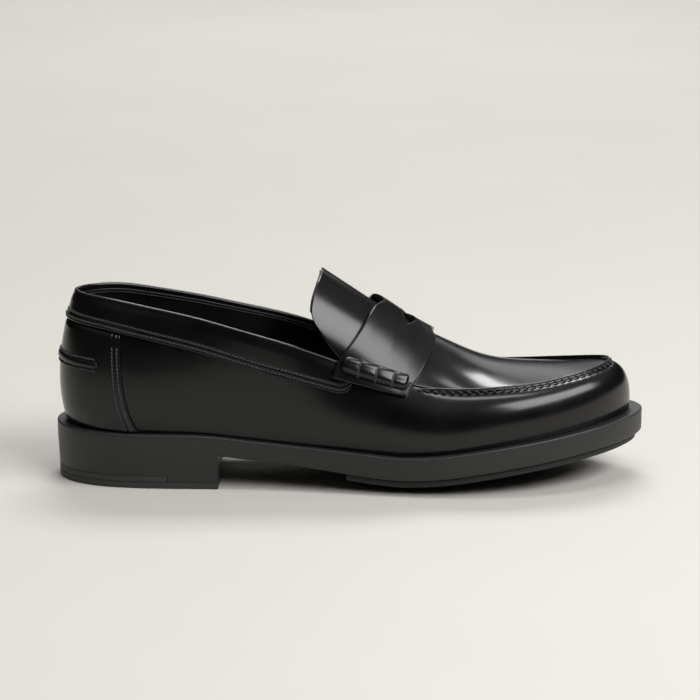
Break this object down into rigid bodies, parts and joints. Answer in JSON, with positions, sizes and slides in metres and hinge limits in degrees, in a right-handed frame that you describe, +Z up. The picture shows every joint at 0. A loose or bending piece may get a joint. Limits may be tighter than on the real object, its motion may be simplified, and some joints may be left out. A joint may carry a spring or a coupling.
{
  "type": "penny loafer",
  "caption": "Right-foot slip-on loafer: moccasin-seamed leather upper with a tongue, a slotted saddle strap and beef rolls, on a rubber sole with a low block heel.",
  "frame": {"origin": "on the floor, under the middle of the shoe's bounding box", "axes": "+X from heel to toe, +Y towards the inside of the foot, +Z up"},
  "size_m": [0.292, 0.1028, 0.1032],
  "materials": {
    "upper_leather": "black polished calf",
    "strap_leather": "black polished calf, edge inked",
    "lining_leather": "black matte lining",
    "sole_rubber": "satin moulded rubber",
    "tread_rubber": "matte rubber",
    "thread": "waxed black thread",
    "fibreboard": "pressed cellulose board",
    "foam": "open-cell foam",
    "cork": "ground cork filler",
    "stiffener": "impregnated non-woven",
    "steel": "spring steel strip"
  },
  "bodies": {
    "root": {"sole_unit": "sole_rubber", "forefoot_tread": "tread_rubber", "heel_top_lift": "tread_rubber", "heel_insert": "tread_rubber", "shank": "steel", "bottom_filler": "cork", "insole_board": "fibreboard", "footbed": "foam", "sock_lining": "lining_leather", "vamp_wall": "upper_leather", "apron": "upper_leather", "collar_band": "upper_leather", "counter_cover": "upper_leather", "heel_tab": "upper_leather", "heel_stiffener": "stiffener", "toe_puff": "stiffener", "heel_grip_lining": "lining_leather", "quarter_lining_outside": "lining_leather", "quarter_lining_inside": "lining_leather", "vamp_lining": "lining_leather", "apron_lining": "lining_leather", "saddle_strap": "strap_leather", "beef_roll_outside": "strap_leather", "roll_thread_outside_1": "thread", "roll_thread_outside_2": "thread", "roll_thread_outside_3": "thread", "beef_roll_inside": "strap_leather", "roll_thread_inside_1": "thread", "roll_thread_inside_2": "thread", "roll_thread_inside_3": "thread"}
  },
  "joints": []
}
